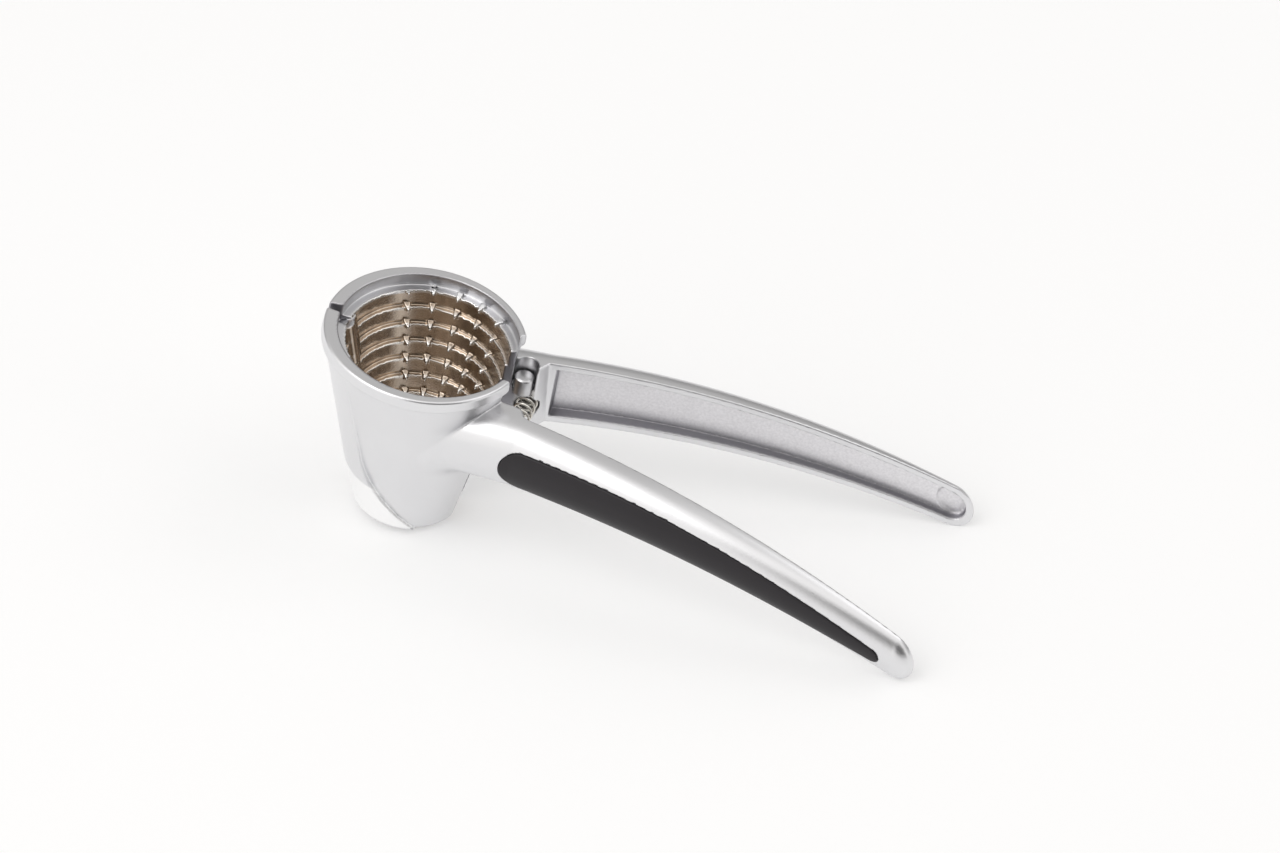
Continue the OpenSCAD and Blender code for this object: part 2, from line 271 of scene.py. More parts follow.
def outside(x, y, z):
    """The cone, the raised band round its hinge side, its rounded foot and the rim's lip."""
    xl, zl = leaned(x, z, CONE_LEAN)
    depth = -zl
    r = np.hypot(xl, y)
    cone = (r - CONE_R + CONE_TAPER * depth) * CONE_COS
    body = either(cone, band_distance(x, y, z), 0.4)
    body = both(body, depth - RIM_TOP, FOOT_ROUND)
    body = both(both(body, CONE_TOP - depth, SMALL_EDGE), FOOT_Z - z, 0.6)
    lip_mid, lip_half = (RIM_TOP + LIP_LOW) / 2, (RIM_TOP - LIP_LOW) / 2
    lip = both(np.hypot(x, y) - RIM_R, np.abs(z - lip_mid) - lip_half, LIP_ROUND)
    return either(body, lip, 0.3 + 1.6 * ramp(-x / RIM_R))


def bore_distance(x, y, z):
    """The stepped inside of the funnel."""
    rho = np.hypot(x - INSIDE_X, y)
    d = both(rho - RECESS_R, RECESS_Z - z, SMALL_EDGE)
    for i in range(LEDGES):
        low = RECESS_Z - LEDGE_PITCH * (i + 1)
        centre = INSIDE_X + (RIM_TOP - low - LEDGE_PITCH) * math.tan(CONE_LEAN)
        step = both(np.hypot(x - centre, y) - (LEDGE_R - LEDGE_W * i), low - z, SMALL_EDGE)
        d = np.minimum(d, step)
    return d


def nearest_ledge(x, y, z):
    """The nearest ledge to each point: its row, height, centre in x, and radius."""
    row = np.clip(np.round((RECESS_Z - z) / LEDGE_PITCH), 0, LEDGES - 1)
    high = RECESS_Z - LEDGE_PITCH * row
    centre = INSIDE_X + (RIM_TOP - high) * math.tan(CONE_LEAN)
    return row, high, centre, LEDGE_R - LEDGE_W * row


def teeth(x, y, z):
    """Small pointed teeth on the upper ledges.

    0.95 and 0.9 turn a tooth's sloping sides and sloping top back into distances.
    """
    row, high, centre, edge_r = nearest_ledge(x, y, z)
    px = x - centre
    turn = np.degrees(np.arctan2(y, px))
    k = np.clip(np.round((turn - TOOTH_FIRST) / TOOTH_SPACING), 0, TEETH - 1)
    local = np.radians(turn - TOOTH_FIRST - TOOTH_SPACING * k)
    rho = np.hypot(px, y)
    inward = edge_r + LEDGE_W - rho * np.cos(local)
    side = np.abs(rho * np.sin(local))
    wedge = (side - TOOTH_HALF_W + TOOTH_POINT * inward) * 0.95
    top = (z - high - TOOTH_HALF_H + TOOTH_SLOPE * np.maximum(inward, 0)) * 0.9
    d = both(both(wedge, top, SHARP_EDGE), high - TOOTH_HALF_H - z, SHARP_EDGE)
    d = both(d, np.maximum(inward - TOOTH_REACH, -TOOTH_BURIED - inward), SHARP_EDGE)
    toothless_row = (row - TOOTH_ROWS + 0.5) * 9
    return np.maximum(d, toothless_row)


def teeth_reach(x, y, z):
    """How far inwards from its base a point on a tooth lies."""
    _, _, centre, edge_r = nearest_ledge(x, y, z)
    return edge_r + LEDGE_W - np.hypot(x - centre, y)


# ---- the hinge and the parting faces ----
def hinge_axes(x, z):
    """x and z in the hinge's axes, where z runs up the pin from 0 at its top."""
    return leaned(x - HINGE_TOP[0], z - HINGE_TOP[2] + RIM_TOP, HINGE_LEAN)


def knuckle_ends(zh, i, lengthen):
    """Distance past the ends of one knuckle."""
    low, high = KNUCKLES[i]
    return np.abs(zh - (low + high) / 2) - (high - low) / 2 - lengthen


def knuckles(xh, yh, zh, own, grow, lengthen):
    """Hinge knuckles in the hinge's axes."""
    d = np.full_like(xh, FAR)
    rad = np.hypot(xh, yh) - KNUCKLE_R - grow
    for i in own:
        d = np.minimum(d, both(rad, knuckle_ends(zh, i, lengthen), KNUCKLE_EDGE))
    return d


def webs(xh, yh, zh, own):
    """The webs that carry each knuckle on its own half's wall."""
    d = np.full_like(xh, FAR)
    flat = np.maximum(np.abs(xh) - KNUCKLE_R + WEB_IN, np.abs(yh - WEB_Y) - WEB_HALF)
    for i in own:
        d = np.minimum(d, both(flat, knuckle_ends(zh, i, -KNUCKLE_GAP), KNUCKLE_EDGE))
    return d


def from_middle(xh, yh):
    """Distance from the lever's own middle plane, which turned with it as it opened."""
    return -xh * math.sin(HALF_OPEN) + yh * math.cos(HALF_OPEN)


def inner_face(x, y, z, xh, yh):
    """Everything on the lever's own side of its parting face and of its handle's inner face."""
    parting = PARTING - from_middle(xh, yh)
    bevel = (x - BEVEL_X - BEVEL_LEAN * (BEVEL_Z - z)) * BEVEL_COS - (y - BEVEL_Y) * BEVEL_SIN
    plate = both(parting, bevel, SMALL_EDGE)
    face = np.maximum(inner_y(x - ROOT_X) - y, FACE_X - x)
    return either(plate, face, SMALL_EDGE)


# ---- whole pieces as distance fields ----
def stop_room(x, y, z):
    """The stop pin's seat, and the groove round the pin above it."""
    rad = np.hypot(x - STOP_XY[0], y - STOP_XY[1])
    seat = np.maximum(rad - STOP_R - PIN_FIT, STOP_Z[0] - z)
    groove = both(rad - STOP_R - STOP_GROOVE, STOP_Z[0] + GROOVE_UP - z, SMALL_EDGE)
    return np.minimum(seat, groove)


def lever(side):
    """The distance field of one lever, drawn at positive y; side is 1 for the back one."""
    own, other = ([0, 2], [1]) if side > 0 else ([1], [0, 2])

    def field(x, y, z):
        u = x - ROOT_X
        v = z - mid_z(u)
        xh, zh = hinge_axes(x, z)
        shell = outside(x, y, z)
        handle = both(section(u, v, y), HANDLE_FROM - x, 2)
        fillet = 0.4 + 3.6 * ramp((45 - z) / 11)  # a crease near the rim, fuller lower down
        metal = either(shell, handle, fillet)
        metal = both(metal, -bore_distance(x, y, z), 0.32)
        metal = either(metal, np.maximum(teeth(x, y, z), shell + 1.5), 0.15)
        metal = both(metal, inner_face(x, y, z, xh, y), EDGE)
        metal = both(metal, -channel(u, v, y), 0.35)
        metal = both(metal, -grip_seat(u, v, y), EDGE)

        barrel = np.minimum(knuckles(xh, y, zh, own, 0, -KNUCKLE_GAP), webs(xh, y, zh, own))
        metal = either(metal, np.maximum(barrel, shell + 0.13), SMALL_EDGE)
        room = knuckles(xh, y, zh, other, KNUCKLE_ROOM, KNUCKLE_GAP)
        metal = both(metal, -room, KNUCKLE_EDGE)
        pin_hole = np.maximum(np.hypot(xh, y) - PIN_R - PIN_FIT, -HINGE_LEN - zh)
        metal = both(metal, -pin_hole, SHARP_EDGE)

        hole_rad = np.hypot(x - SPRING_XZ[0], z - SPRING_XZ[1]) - HOLE_R
        metal = both(metal, -np.maximum(hole_rad, y - SPRING_HALF - 0.1), SMALL_EDGE)
        if side > 0:
            metal = both(metal, -stop_room(x, y, z), KNUCKLE_EDGE)
        return metal

    return field


def grip(x, y, z):
    """The distance field of a grip inlay."""
    u = x - ROOT_X
    v = z - mid_z(u)
    skin = section(u, v, y)
    d = both(grip_outline(u, v) + GROOVE, skin - GRIP_PROUD, EDGE)
    d = both(d, 0.05 - grip_depth(u) - skin, SHARP_EDGE)
    return np.maximum(d, inner_y(u) + 1 - y)


# ---- a distance field as a closed mesh ----
def graded(start, fine_to, stop, fine, coarse):
    """Grid lines from start to stop, fine up to fine_to and then widening to coarse."""
    lines, step = [start], fine
    while lines[-1] < stop:
        if lines[-1] > fine_to:
            step = min(coarse, step * 1.04)
        lines.append(lines[-1] + step)
    return np.array(lines)


def sample(field, xs, ys, zs):
    """The field at every grid point, worked out a few layers at a time."""
    out = np.empty((len(xs), len(ys), len(zs)), np.float32)
    yy, zz = np.meshgrid(ys, zs, indexing="ij")
    yy, zz = np.meshgrid(ys, zs, indexing="ij")
    for i in range(0, len(xs), 8):
        xx = xs[i:i + 8, None, None]
        shape = (len(xs[i:i + 8]), len(ys), len(zs))
        points = (np.broadcast_to(a, shape).astype(np.float64) for a in (xx, yy[None], zz[None]))
        out[i:i + 8] = field(*points)
    return out


def gradient(field, p, step=0.02):
    """The field's slope at each point, by central differences."""
    g = np.empty_like(p)
    for axis in range(3):
        move = np.zeros(3)
        move[axis] = step
        a, b = p + move, p - move
        g[:, axis] = (field(*a.T) - field(*b.T)) / (2 * step)
    return g


def surface(field, xs, ys, zs, rounds=4):
    """The field's zero surface as points, quads and normals.

    Each grid cell that the surface crosses gets one point. Cells round a crossed grid edge are
    joined by a quad. The points are then drawn onto the surface, a few times over.
    """
    value = sample(field, xs, ys, zs)
    inside = value < 0
    corners = [(i, j, k) for i in (0, 1) for j in (0, 1) for k in (0, 1)]
    n = tuple(s - 1 for s in value.shape)
    count = sum(inside[i:i + n[0], j:j + n[1], k:k + n[2]].astype(np.int8) for i, j, k in corners)
    cells = np.argwhere((count > 0) & (count < 8))
    number = np.full(n, -1, np.int64)
    number[tuple(cells.T)] = np.arange(len(cells))
    lines = (xs, ys, zs)
    total, hits = np.zeros((len(cells), 3)), np.zeros(len(cells))
    for axis in range(3):
        others = [a for a in range(3) if a != axis]
        for p in (0, 1):
            for q in (0, 1):
                a = cells.copy()
                a[:, others[0]] += p
                a[:, others[1]] += q
                b = a.copy()
                b[:, axis] += 1
                va, vb = value[tuple(a.T)].astype(float), value[tuple(b.T)].astype(float)
                cross = (va < 0) != (vb < 0)
                t = np.where(cross, va / np.where(cross, va - vb, 1), 0)
                point = np.stack([lines[c][a[:, c]] for c in range(3)], 1)
                point[:, axis] += t * (lines[axis][b[:, axis]] - lines[axis][a[:, axis]])
                total[cross] += point[cross]
                hits += cross
    verts = total / hits[:, None]
    quads = []
    for axis in range(3):
        o1, o2 = (axis + 1) % 3, (axis + 2) % 3
        low = [slice(None)] * 3
        high = [slice(None)] * 3
        low[axis], high[axis] = slice(0, -1), slice(1, None)
        change = inside[tuple(low)] != inside[tuple(high)]
        edges = np.argwhere(change)
        ok = np.ones(len(edges), bool)
        for other in (o1, o2):
            ok &= (edges[:, other] > 0) & (edges[:, other] < n[other])
        edges = edges[ok]
        start_in = inside[tuple(edges.T)]
        ring = []
        for p, q in ((0, 0), (-1, 0), (-1, -1), (0, -1)):
            cell = edges.copy()
            cell[:, o1] += p
            cell[:, o2] += q
            ring.append(number[tuple(cell.T)])
        quad = np.stack(ring, 1)
        quad[~start_in] = quad[~start_in][:, ::-1]
        quads.append(quad)
    quads = np.concatenate(quads)
    room = 0.5 * max(ys[1] - ys[0], zs[1] - zs[0])
    for _ in range(rounds):
        g = gradient(field, verts)
        step = field(*verts.T)[:, None] * g / np.maximum((g * g).sum(1), 0.05)[:, None]
        size = np.linalg.norm(step, axis=1, keepdims=True)
        verts = verts - step * np.minimum(1, room / np.maximum(size, 1e-9))
    normals = gradient(field, verts)
    normals /= np.maximum(np.linalg.norm(normals, axis=1, keepdims=True), 1e-9)
    return verts, quads, normals


def add_object(name, data):
    """A new object in the scene."""
    obj = bpy.data.objects.new(name, data)
    bpy.context.scene.collection.objects.link(obj)
    return obj


def smooth(mesh):
    """Every face shaded smooth."""
    mesh.polygons.foreach_set("use_smooth", np.ones(len(mesh.polygons), bool))


def piece(name, points, faces, normals, side):
    """A piece from points in the funnel's axes. side -1 mirrors it to the front."""
    points = np.array(points, float)
    faces = np.asarray(faces)
    if side < 0:
        points[:, 1] *= -1
        faces = faces[:, ::-1]
    mesh = bpy.data.meshes.new(name)
    mesh.from_pydata(to_row(points).tolist(), [], faces.tolist())
    smooth(mesh)
    normals = np.array(normals, float)
    normals[:, 1] *= side
    mesh.normals_split_custom_set_from_vertices((normals @ TURN.T).tolist())
    mesh.validate()
    return add_object(name, mesh)


# ---- the castings' marks: a value from 0 to 1 at each vertex, which the material reads; three of them are painted shade and painted highlights ----
def mark(obj, name, values):
    """Keeps one mark on the mesh."""
    layer = obj.data.attributes.new(name, "FLOAT", "POINT")
    layer.data.foreach_set("value", np.asarray(values, np.float32))


def bronze_inside(x, y, z):
    """The stepped inside below the recess."""
    within = 1 - ramp((bore_distance(x, y, z) - 0.35) / 0.4)
    return within * ramp((RECESS_Z - 0.5 - z) / 0.4)


def painted_edge_highlights(x, y, z):
    """Painted highlights: a lighter colour along the ledges' edges and on the teeth's points."""
    _, high, centre, edge_r = nearest_ledge(x, y, z)
    off_edge = np.hypot(np.hypot(x - centre, y) - edge_r, z - high)
    edges = np.exp(-((off_edge / 0.5) ** 2)) * (np.abs(bore_distance(x, y, z)) < 0.6)
    points = ramp((teeth_reach(x, y, z) - 1.5) / 0.4) * (teeth(x, y, z) < 0.1)
    return np.maximum(edges, points)


def painted_shade_faces(x, y, z):
    """Painted shade and painted dark reflections on the faces that look darker: where the halves
    part, the walls of the channel and of the recess, the line under the lip, and a patch beside
    the root."""
    u = x - ROOT_X
    v = z - mid_z(u)
    hollow = bore_distance(x, y, z)
    # Painted shade on the parting faces near the hinge.
    parting = from_middle(hinge_axes(x, z)[0], y) - PARTING
    painted_shade = (1 - ramp((np.abs(parting) - 0.12) / 0.2)) * (1 - ramp((x - 27.0) / 1.5))

    # Painted shade and painted dark reflection on the channel's walls, and painted shade fading up
    # from its lower edge.
    deep = y - inner_y(u)
    wall = (1 - ramp((np.abs(channel_walls(u, v)) - 0.15) / 0.35)) * ramp((deep - 0.35) / 0.5)
    shade = 0.55 * np.exp(-np.maximum(v + half_h(u) - FLANGE, 0) / 1.1) * (deep > 1) * (v < 0)
    in_channel = (np.abs(channel(u, v, y)) < 0.6) & (x > ROOT_X)
    trough = np.maximum(wall, shade) * in_channel

    # Painted shade under the lip, a painted dark reflection on the recess wall, and a painted dark
    # reflection in the nook beside the root.
    under_lip = np.exp(-(((z - LIP_LOW + 0.15) / 0.3) ** 2)) * ramp((x + 12) / 26) * (hollow > 2)
    recess = 1 - ramp((np.abs(np.hypot(x - INSIDE_X, y) - RECESS_R) - 0.15) / 0.2)
    recess = 0.6 * recess * ramp((z - RECESS_Z - 0.5) / 0.4)
    root = section(u, v, y)
    nook = 0.6 * np.exp(-np.maximum(root, 0) / 2.4) * ramp(root / 0.3) * ramp((z - 46) / 5)
    nook = nook * ramp((x - 8) / 8) * (hollow > 1) * (np.abs(outside(x, y, z)) < 0.3)
    painted_dark_patches = np.maximum(np.maximum(0.75 * under_lip, recess), nook)
    return np.maximum(np.maximum(painted_shade, painted_dark_patches), trough)


def painted_facet_light(x, y, z):
    """Painted highlight: a lighter colour on the band's lower facet."""
    on_band = 1 - ramp((np.abs(band_distance(x, y, z)) - 0.1) / 0.2)
    below = ramp((band_depth(x, z) - BAND_STEP - 0.4) / 0.8)
    return on_band * below * (bore_distance(x, y, z) > 1)


def rough_channel(x, y, z):
    """The channel's rough cast floor."""
    u = x - ROOT_X
    v = z - mid_z(u)
    trough = 1 - ramp((np.abs(channel(u, v, y)) - 0.25) / 0.3)
    return trough * ramp((y - inner_y(u) - 0.5) / 0.8)


# The marks on the ledges' edges and teeth, on the band's facet and on the faces that look darker
# are painted highlights and painted shade.
MARKS = {"bronze": bronze_inside, "bright": painted_edge_highlights, "painted_shade": painted_shade_faces,
         "facet": painted_facet_light, "cast": rough_channel}


def casting(name, side):
    """One lever, with its marks. The grid starts just past the knuckles and widens to the tip."""
    xs = graded(-31.0, 39.0, 165.5, CAST_GRID, 1.6 * CAST_GRID)
    ys = np.arange(-3.7 if side > 0 else -3.75, 46.5, CAST_GRID)
    zs = np.arange(-0.77, 64.5, CAST_GRID)
    verts, quads, normals = surface(lever(side), xs, ys, zs)
    obj = piece(name, verts, quads, normals, side)
    for label, values in MARKS.items():
        mark(obj, label, values(*verts.T))
    return obj


def grip_inlay(name, side):
    """One grip inlay."""
    xs = graded(30.5, 46, 157, GRIP_GRID, GRIP_COARSE)
    ys, zs = np.arange(13, 45, GRIP_GRID), np.arange(12, 56, GRIP_GRID)
    verts, quads, normals = surface(grip, xs, ys, zs)
    return piece(name, verts, quads, normals, side)


def turned(name, profile, base, axis, sides=64):
    """A turned piece: profile is (radius, height) pairs, closed at both ends on the axis."""
    axis = np.array(axis, float) / np.linalg.norm(axis)
    across = np.cross(axis, [0, 1, 0])
    across /= np.linalg.norm(across)
    third = np.cross(axis, across)
    base = np.array(base)
    points, faces = [base + axis * profile[0][1]], []
    for r, h in profile:
        for k in range(sides):
            a = 2 * math.pi * k / sides
            points.append(base + axis * h + (across * math.cos(a) + third * math.sin(a)) * r)
    points.append(base + axis * profile[-1][1])
    last = len(points) - 1
    top = 1 + (len(profile) - 1) * sides
    for k in range(sides):
        j = (k + 1) % sides
        faces.append([0, 1 + j, 1 + k])
        for i in range(len(profile) - 1):
            a, b = 1 + i * sides, 1 + (i + 1) * sides
            faces.append([a + k, a + j, b + j, b + k])
        faces.append([top + k, top + j, last])
    mesh = bpy.data.meshes.new(name)
    mesh.from_pydata(to_row(points).tolist(), [], faces)
    smooth(mesh)
    mesh.set_sharp_from_angle(angle=math.radians(35))
    return add_object(name, mesh)


# ---- materials ----
def new_material(name, metallic=0.0):
    """A material with its nodes, its links and its shader."""
    material = bpy.data.materials.new(name)
    material.use_nodes = True
    nodes, links = material.node_tree.nodes, material.node_tree.links
    shader = nodes["Principled BSDF"]
    shader.inputs["Metallic"].default_value = metallic
    return material, nodes, links, shader


def build_grain():
    """Fine cast or blasted grain: a height for a bump, and a slow cloud that shifts gloss."""
    group = bpy.data.node_groups.new("fine_grain", "ShaderNodeTree")
    face = group.interface
    for name, value in (("Grain size", 1200.0), ("Cloud size", 60.0), ("Streak", 1.0)):
        face.new_socket(name, in_out="INPUT", socket_type="NodeSocketFloat").default_value = value
    face.new_socket("Height", in_out="OUTPUT", socket_type="NodeSocketFloat")
    face.new_socket("Cloud", in_out="OUTPUT", socket_type="NodeSocketFloat")
    nodes, links = group.nodes, group.links
    given, result = nodes.new("NodeGroupInput"), nodes.new("NodeGroupOutput")
    place = nodes.new("ShaderNodeTexCoord")
    squeeze = nodes.new("ShaderNodeCombineXYZ")
    squeeze.inputs[0].default_value = 1.0
    squeeze.inputs[1].default_value = 1.0
    links.new(given.outputs["Streak"], squeeze.inputs[2])
    scaled = nodes.new("ShaderNodeVectorMath")
    scaled.operation = "MULTIPLY"
    links.new(place.outputs["Object"], scaled.inputs[0])
    links.new(squeeze.outputs[0], scaled.inputs[1])
    for output, size, detail in (("Height", "Grain size", 3.0), ("Cloud", "Cloud size", 4.0)):
        noise = nodes.new("ShaderNodeTexNoise")
        noise.inputs["Detail"].default_value = detail
        links.new(scaled.outputs[0], noise.inputs["Vector"])
        links.new(given.outputs[size], noise.inputs["Scale"])
        links.new(noise.outputs["Fac"], result.inputs[output])
    return group


GRAIN = build_grain()


def grain(nodes, size, cloud, streak=1.0):
    """One use of the shared grain."""
    node = nodes.new("ShaderNodeGroup")
    node.node_tree = GRAIN
    node.inputs["Grain size"].default_value = size
    node.inputs["Cloud size"].default_value = cloud
    node.inputs["Streak"].default_value = streak
    return node


def blend_value(nodes, links, mask, low, high):
    """low where the mask is 0 and high where it is 1; each is a number or a socket."""
    mix = nodes.new("ShaderNodeMix")
    mix.data_type = "FLOAT"
    links.new(mask, mix.inputs[0])
    for i, value in ((2, low), (3, high)):
        if isinstance(value, (int, float)):
            mix.inputs[i].default_value = value
        else:
            links.new(value, mix.inputs[i])
    return mix.outputs[0]


def blend_colour(nodes, links, mask, low, high):
    """The same for colours."""
    mix = nodes.new("ShaderNodeMix")
    mix.data_type = "RGBA"
    links.new(mask, mix.inputs[0])
    for i, value in ((6, low), (7, high)):
        if isinstance(value, tuple):
            mix.inputs[i].default_value = (*value, 1)
        else:
            links.new(value, mix.inputs[i])
    return mix.outputs[2]


def attribute(nodes, name):
    """One of the casting's marks."""
    node = nodes.new("ShaderNodeAttribute")
    node.attribute_name = name
    return node.outputs["Fac"]


def relief(nodes, links, shader, height, strength, distance):
    """A fine bump on the shader."""
    bump = nodes.new("ShaderNodeBump")
    bump.inputs["Strength"].default_value = strength
    bump.inputs["Distance"].default_value = distance
    links.new(height, bump.inputs["Height"])
    links.new(bump.outputs[0], shader.inputs["Normal"])


def satin_chrome():
    """Satin chrome, bronze-coloured and streaked inside, sandy in the channel, with painted shade
    and painted highlights from the marks.
    """
    material, nodes, links, shader = new_material("satin_chrome", metallic=1.0)
    skin, streaks = grain(nodes, 1500, 55), grain(nodes, 900, 420, 0.16)
    sand = grain(nodes, 1300, 330)
    bronze, bright, cast, painted_shade, facet = (
        attribute(nodes, label) for label in ("bronze", "bright", "cast", "painted_shade", "facet"))

    cloud = skin.outputs["Cloud"]
    clean = blend_colour(nodes, links, cloud, (0.73, 0.73, 0.745), (0.79, 0.79, 0.80))
    streak, speck = streaks.outputs["Cloud"], sand.outputs["Height"]
    tinted = blend_colour(nodes, links, streak, (0.30, 0.245, 0.20), (0.74, 0.62, 0.50))
    sandy = blend_colour(nodes, links, speck, (0.70, 0.69, 0.71), (0.97, 0.96, 0.98))
    colour = blend_colour(nodes, links, bronze, clean, tinted)
    # Painted light: the light grey on the band's facet and the near-white on the ledges' edges and
    # teeth's points are painted highlights; the dark grey on the faces that look darker is painted
    # shade and painted dark reflection.
    for mask, over in ((cast, sandy), (facet, (0.97, 0.97, 0.97)), (painted_shade, (0.34, 0.335, 0.36)),
                       (bright, (0.95, 0.94, 0.92))):
        colour = blend_colour(nodes, links, mask, colour, over)
    links.new(colour, shader.inputs["Base Color"])

    rough = blend_value(nodes, links, cloud, 0.27, 0.36)
    for mask, over in ((bronze, 0.2), (cast, 0.5), (painted_shade, 0.42), (bright, 0.13)):
        rough = blend_value(nodes, links, mask, rough, over)
    links.new(rough, shader.inputs["Roughness"])
    height = blend_value(nodes, links, cast, skin.outputs["Height"], speck)
    relief(nodes, links, shader, height, 0.12, 0.0002)
    return material


def grip_black():
    """Soft black plastic."""
    material, nodes, links, shader = new_material("grip_black")
    skin = grain(nodes, 2600, 90)
    cloud = skin.outputs["Cloud"]
    colour = blend_colour(nodes, links, cloud, (0.012, 0.010, 0.012), (0.020, 0.017, 0.020))
    links.new(colour, shader.inputs["Base Color"])
    links.new(blend_value(nodes, links, cloud, 0.38, 0.50), shader.inputs["Roughness"])
    shader.inputs["Specular IOR Level"].default_value = 0.35
    relief(nodes, links, shader, skin.outputs["Height"], 0.25, 0.0001)
    return material


def turned_steel(name, base, axis, colour, pitch):
    """Steel with fine rings left by turning, round the given axis in the row frame."""
    material, nodes, links, shader = new_material(name, metallic=1.0)
    place, centre = nodes.new("ShaderNodeTexCoord"), nodes.new("ShaderNodeMapping")
    centre.vector_type = "TEXTURE"
    centre.inputs["Location"].default_value = tuple(base)
    centre.inputs["Rotation"].default_value = Vector(axis).to_track_quat("Z", "Y").to_euler()
    links.new(place.outputs["Object"], centre.inputs["Vector"])
    rings = nodes.new("ShaderNodeTexWave")
    rings.wave_type = "RINGS"
    rings.rings_direction = "Z"
    rings.inputs["Scale"].default_value = pitch
    rings.inputs["Distortion"].default_value = 0.6
    links.new(centre.outputs[0], rings.inputs["Vector"])
    skin = grain(nodes, 1800, 150)
    darker = tuple(0.88 * c for c in colour)
    tone = blend_colour(nodes, links, skin.outputs["Cloud"], darker, colour)
    links.new(tone, shader.inputs["Base Color"])
    rough = blend_value(nodes, links, rings.outputs["Fac"], 0.24, 0.34)
    links.new(rough, shader.inputs["Roughness"])
    relief(nodes, links, shader, rings.outputs["Fac"], 0.15, 0.00005)
    return material


def spring_wire():
    """Bright drawn wire."""
    material, nodes, links, shader = new_material("spring_wire", metallic=1.0)
    skin = grain(nodes, 2400, 700)
    cloud, height = skin.outputs["Cloud"], skin.outputs["Height"]
    tone = blend_colour(nodes, links, cloud, (0.62, 0.59, 0.53), (0.86, 0.84, 0.80))
    links.new(tone, shader.inputs["Base Color"])
    links.new(blend_value(nodes, links, height, 0.14, 0.26), shader.inputs["Roughness"])
    relief(nodes, links, shader, height, 0.1, 0.00005)
    return material


# ---- the return spring, wound by Geometry Nodes ----
SPRING_SIZES = {"Length": 2 * SPRING_HALF * MM, "Coil radius": (SPRING_R - WIRE_R) * MM,
                "Wire radius": WIRE_R * MM, "Turns": SPRING_TURNS}


def spring_tree(material):
    """A round wire wound along z with closed end turns."""
    tree = bpy.data.node_groups.new("wound_spring", "GeometryNodeTree")
    face = tree.interface
    for name in SPRING_SIZES:
        face.new_socket(name, in_out="INPUT", socket_type="NodeSocketFloat")
    face.new_socket("Geometry", in_out="OUTPUT", socket_type="NodeSocketGeometry")
    nodes, links = tree.nodes, tree.links
    given, result = nodes.new("NodeGroupInput"), nodes.new("NodeGroupOutput")

    def maths(kind, a, b):
        node = nodes.new("ShaderNodeMath")
        node.operation = kind
        for i, value in ((0, a), (1, b)):
            if isinstance(value, (int, float)):
                node.inputs[i].default_value = value
            else:
                links.new(value, node.inputs[i])
        return node.outputs[0]

    coil = nodes.new("GeometryNodeCurveSpiral")
    coil.inputs["Resolution"].default_value = 40
    coil.inputs["Height"].default_value = 1.0
    links.new(given.outputs["Turns"], coil.inputs["Rotations"])
    for name in ("Start Radius", "End Radius"):
        links.new(given.outputs["Coil radius"], coil.inputs[name])
    where = nodes.new("GeometryNodeInputPosition")
    parts = nodes.new("ShaderNodeSeparateXYZ")
    links.new(where.outputs[0], parts.inputs[0])
    turn = maths("MULTIPLY", parts.outputs[2], given.outputs["Turns"])
    closed = maths("MULTIPLY", given.outputs["Wire radius"], END_TURN)
    first = maths("MINIMUM", turn, 1.0)
    before_last = maths("SUBTRACT", given.outputs["Turns"], 1.0)
    last = maths("MAXIMUM", maths("SUBTRACT", turn, before_last), 0.0)
    ends = maths("MULTIPLY", maths("ADD", first, last), closed)
    open_turns = maths("SUBTRACT", given.outputs["Turns"], 2.0)
    middle = maths("MAXIMUM", maths("MINIMUM", maths("SUBTRACT", turn, 1.0), open_turns), 0.0)
    wire = maths("MULTIPLY", given.outputs["Wire radius"], 2.0)
    between_ends = maths("SUBTRACT", given.outputs["Length"], maths("MULTIPLY", closed, 2.0))
    free = maths("SUBTRACT", between_ends, wire)
    rise = maths("MULTIPLY", maths("DIVIDE", middle, open_turns), free)
    high = maths("ADD", maths("ADD", ends, rise), given.outputs["Wire radius"])
    joined = nodes.new("ShaderNodeCombineXYZ")
    links.new(parts.outputs[0], joined.inputs[0])
    links.new(parts.outputs[1], joined.inputs[1])
    links.new(high, joined.inputs[2])
    moved = nodes.new("GeometryNodeSetPosition")
    links.new(coil.outputs[0], moved.inputs["Geometry"])
    links.new(joined.outputs[0], moved.inputs["Position"])
    ring = nodes.new("GeometryNodeCurvePrimitiveCircle")
    ring.inputs["Resolution"].default_value = 14
    links.new(given.outputs["Wire radius"], ring.inputs["Radius"])
    tube = nodes.new("GeometryNodeCurveToMesh")
    tube.inputs["Fill Caps"].default_value = True
    links.new(moved.outputs[0], tube.inputs["Curve"])
    links.new(ring.outputs[0], tube.inputs["Profile Curve"])
    real = nodes.new("GeometryNodeRealizeInstances")
    links.new(tube.outputs[0], real.inputs[0])
    paint = nodes.new("GeometryNodeSetMaterial")
    paint.inputs["Material"].default_value = material
    links.new(real.outputs[0], paint.inputs["Geometry"])
    links.new(paint.outputs[0], result.inputs[0])
    return tree


